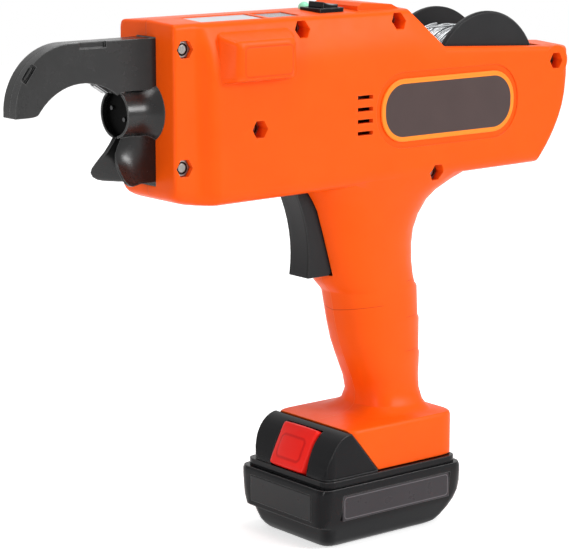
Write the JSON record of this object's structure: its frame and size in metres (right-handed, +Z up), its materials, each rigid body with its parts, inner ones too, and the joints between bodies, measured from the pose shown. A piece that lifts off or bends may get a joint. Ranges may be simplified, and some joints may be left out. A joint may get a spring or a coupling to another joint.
{
  "type": "rebar tying tool",
  "caption": "Cordless rebar tying tool: orange split housing with pistol grip, curled wire guide nose with flared lips, wire reel at the rear, trigger and slide-on battery pack.",
  "frame": {"origin": "centre of the battery pack's bottom face, on the surface the tool stands on", "axes": "+Z up, -X towards the nose, -Y the tool's left side, which has the nuts and the nameplate"},
  "size_m": [0.2856, 0.06, 0.2353],
  "materials": {
    "orange": "satin orange plastic",
    "nose_black": "satin dark grey plastic",
    "black": "black plastic",
    "dark": "dark grey plastic",
    "red": "red plastic",
    "plate": "brown grey plate",
    "pale_plate": "pale grey plate",
    "lens": "green lens",
    "zinc": "zinc plated steel",
    "steel": "ground steel",
    "wire": "drawn steel wire",
    "motor": "plated motor can",
    "brass": "brass",
    "gear_plastic": "moulded gear plastic",
    "board": "circuit board",
    "cell": "wrapped cell"
  },
  "bodies": {
    "housing": {"left_housing": "orange", "right_housing": "orange", "case_screws": "zinc", "case_nuts": "zinc", "nameplate": "plate", "deck_label": "pale_plate", "deck_window": "pale_plate", "switch_frame": "black", "status_light": "lens", "trigger_switch": "black", "trigger_spring": "steel", "control_board": "board", "terminal_block": "black", "twist_motor": "motor", "motor_end_cap": "black", "gearbox_case": "steel", "front_bearing": "steel", "nose_left": "nose_black", "nose_right": "nose_black", "nose_screws": "zinc", "wear_blades": "zinc", "feed_plates": "steel", "feed_motor": "motor", "idler_pin": "steel", "pressure_pin": "steel", "pressure_spring": "steel", "wire_tube": "steel", "tie_wire": "wire", "cutter_die": "steel", "reel_pin": "black"},
    "power_rocker": {"power_rocker": "black"},
    "trigger": {"trigger": "dark"},
    "sun_shaft": {"motor_shaft": "steel"},
    "planet_1": {"planet_gear_1": "steel"},
    "planet_2": {"planet_gear_2": "steel"},
    "planet_3": {"planet_gear_3": "steel"},
    "twist_head": {"planet_carrier": "steel", "twist_head": "black", "hook_pins": "zinc"},
    "feed_pinion": {"feed_pinion": "brass"},
    "feed_idler": {"idler_gear": "gear_plastic"},
    "drive_roller": {"drive_roller": "steel"},
    "pressure_arm": {"pressure_arm": "steel"},
    "pressure_roller": {"pressure_roller": "steel"},
    "cutter_lever": {"cutter_lever": "steel"},
    "reel": {"wire_reel": "dark", "wire_core": "wire", "wire_winding": "wire"},
    "reel_plunger": {"reel_plunger": "black"},
    "battery": {"pack_lower_case": "black", "pack_upper_case": "black", "pack_cells": "cell", "pack_contacts": "black", "pack_labels": "dark", "pack_screws": "steel", "latch_spring": "steel"},
    "latch": {"pack_latch": "red"}
  },
  "joints": [
    {"name": "trigger_pull", "type": "slide", "parent": "housing", "child": "trigger", "axis": [1, 0, 0], "range_m": [0, 0.005], "stiffness_N_per_m": 1200, "springref_m": -0.003, "deforming": ["trigger_spring"]},
    {"name": "power_tilt", "type": "hinge", "parent": "housing", "child": "power_rocker", "pos_m": [-0.0225, -0.007, 0.2285], "axis": [0, 1, 0], "range_deg": [-18, 0]},
    {"name": "twist_spin", "type": "hinge", "parent": "housing", "child": "twist_head", "pos_m": [-0.1, 0, 0.1946], "axis": [1, 0, 0], "continuous": true},
    {"name": "sun_spin", "type": "hinge", "parent": "housing", "child": "sun_shaft", "pos_m": [-0.03, 0, 0.1946], "axis": [1, 0, 0], "continuous": true},
    {"name": "planet_1_spin", "type": "hinge", "parent": "twist_head", "child": "planet_1", "pos_m": [-0.038, 0.00945, 0.1946], "axis": [1, 0, 0], "continuous": true},
    {"name": "planet_2_spin", "type": "hinge", "parent": "twist_head", "child": "planet_2", "pos_m": [-0.038, -0.00473, 0.20278], "axis": [1, 0, 0], "continuous": true},
    {"name": "planet_3_spin", "type": "hinge", "parent": "twist_head", "child": "planet_3", "pos_m": [-0.038, -0.00473, 0.18642], "axis": [1, 0, 0], "continuous": true},
    {"name": "feed_spin", "type": "hinge", "parent": "housing", "child": "drive_roller", "pos_m": [-0.072, 0, 0.21], "axis": [0, 1, 0], "continuous": true},
    {"name": "idler_spin", "type": "hinge", "parent": "housing", "child": "feed_idler", "pos_m": [-0.08191, 0.014, 0.19356], "axis": [0, 1, 0], "continuous": true},
    {"name": "pinion_spin", "type": "hinge", "parent": "housing", "child": "feed_pinion", "pos_m": [-0.084, 0.014, 0.1785], "axis": [0, 1, 0], "continuous": true},
    {"name": "presser_lift", "type": "hinge", "parent": "housing", "child": "pressure_arm", "pos_m": [-0.064, 0, 0.2236], "axis": [0, 1, 0], "range_deg": [0, 12], "stiffness_Nm_per_rad": 0.05, "springref_deg": -11.46, "deforming": ["pressure_spring"]},
    {"name": "presser_spin", "type": "hinge", "parent": "pressure_arm", "child": "pressure_roller", "pos_m": [-0.072, 0, 0.2218], "axis": [0, 1, 0], "continuous": true},
    {"name": "cutter_swing", "type": "hinge", "parent": "housing", "child": "cutter_lever", "pos_m": [-0.0964, 0.0062, 0.2126], "axis": [1, 0, 0], "range_deg": [0, 14]},
    {"name": "reel_spin", "type": "hinge", "parent": "housing", "child": "reel", "pos_m": [0.0633, 0, 0.1958], "axis": [0, 1, 0], "continuous": true},
    {"name": "plunger_pull", "type": "slide", "parent": "housing", "child": "reel_plunger", "axis": [0, 1, 0], "range_m": [0, 0.0095], "stiffness_N_per_m": 500, "springref_m": -0.004},
    {"name": "battery_slide", "type": "slide", "parent": "housing", "child": "battery", "axis": [-1, 0, 0], "range_m": [0, 0.06]},
    {"name": "latch_press", "type": "slide", "parent": "battery", "child": "latch", "axis": [0.8934, 0, -0.4493], "range_m": [0, 0.0025], "stiffness_N_per_m": 1500, "springref_m": -0.002, "deforming": ["latch_spring"]}
  ],
  "couplings": [
    {"joint": "sun_spin", "follows": "twist_spin", "ratio": 4.5},
    {"joint": "planet_1_spin", "follows": "twist_spin", "ratio": -2.8},
    {"joint": "planet_2_spin", "follows": "twist_spin", "ratio": -2.8},
    {"joint": "planet_3_spin", "follows": "twist_spin", "ratio": -2.8},
    {"joint": "idler_spin", "follows": "feed_spin", "ratio": -1},
    {"joint": "pinion_spin", "follows": "feed_spin", "ratio": 1.7143}
  ]
}
